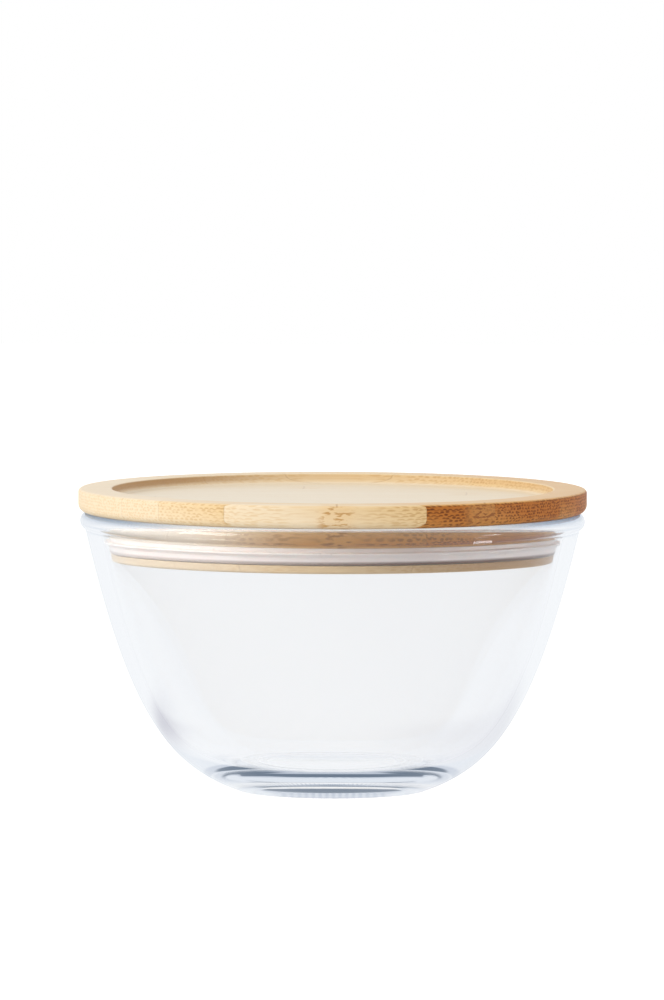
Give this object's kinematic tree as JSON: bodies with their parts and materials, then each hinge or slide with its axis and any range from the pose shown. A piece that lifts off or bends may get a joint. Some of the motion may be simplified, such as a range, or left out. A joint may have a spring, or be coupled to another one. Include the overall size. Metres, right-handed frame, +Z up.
{
  "type": "lidded bowl",
  "caption": "Lidded storage bowl: clear flared glass bowl with a rolled rim, and a laminated bamboo lid whose plug carries a silicone sealing ring. The lid lifts straight off.",
  "frame": {"origin": "centre of the flat ring that the glass stands on, at table height", "axes": "+Z up along the bowl's axis, the way the lid lifts; +X to the right and -Y towards the viewer of the picture, with the lid's seams nearly along X"},
  "size_m": [0.18, 0.18, 0.107],
  "materials": {
    "clear_glass": "fire-polished clear pressed glass, faintly blue where it is thick",
    "bamboo": "sanded and oiled laminated bamboo, pale and caramel strips",
    "silicone": "translucent frosted silicone"
  },
  "bodies": {
    "bowl": {"bowl": "clear_glass"},
    "lid": {"top_strip_1": "bamboo", "top_strip_2": "bamboo", "top_strip_3": "bamboo", "top_strip_4": "bamboo", "top_strip_5": "bamboo", "top_strip_6": "bamboo", "top_strip_7": "bamboo", "top_strip_8": "bamboo", "top_strip_9": "bamboo", "top_strip_10": "bamboo", "top_strip_11": "bamboo", "top_strip_12": "bamboo", "top_strip_13": "bamboo", "plug_upper_strip_1": "bamboo", "plug_upper_strip_2": "bamboo", "plug_upper_strip_3": "bamboo", "plug_upper_strip_4": "bamboo", "plug_upper_strip_5": "bamboo", "plug_upper_strip_6": "bamboo", "plug_upper_strip_7": "bamboo", "plug_upper_strip_8": "bamboo", "plug_upper_strip_9": "bamboo", "plug_upper_strip_10": "bamboo", "plug_upper_strip_11": "bamboo", "plug_upper_strip_12": "bamboo", "plug_lower_strip_1": "bamboo", "plug_lower_strip_2": "bamboo", "plug_lower_strip_3": "bamboo", "plug_lower_strip_4": "bamboo", "plug_lower_strip_5": "bamboo", "plug_lower_strip_6": "bamboo", "plug_lower_strip_7": "bamboo", "plug_lower_strip_8": "bamboo", "plug_lower_strip_9": "bamboo", "plug_lower_strip_10": "bamboo", "plug_lower_strip_11": "bamboo", "plug_lower_strip_12": "bamboo", "gasket": "silicone"}
  },
  "joints": [
    {"name": "lid_lift", "type": "slide", "parent": "bowl", "child": "lid", "axis": [0, 0, 1], "range_m": [0, 0.12]}
  ]
}
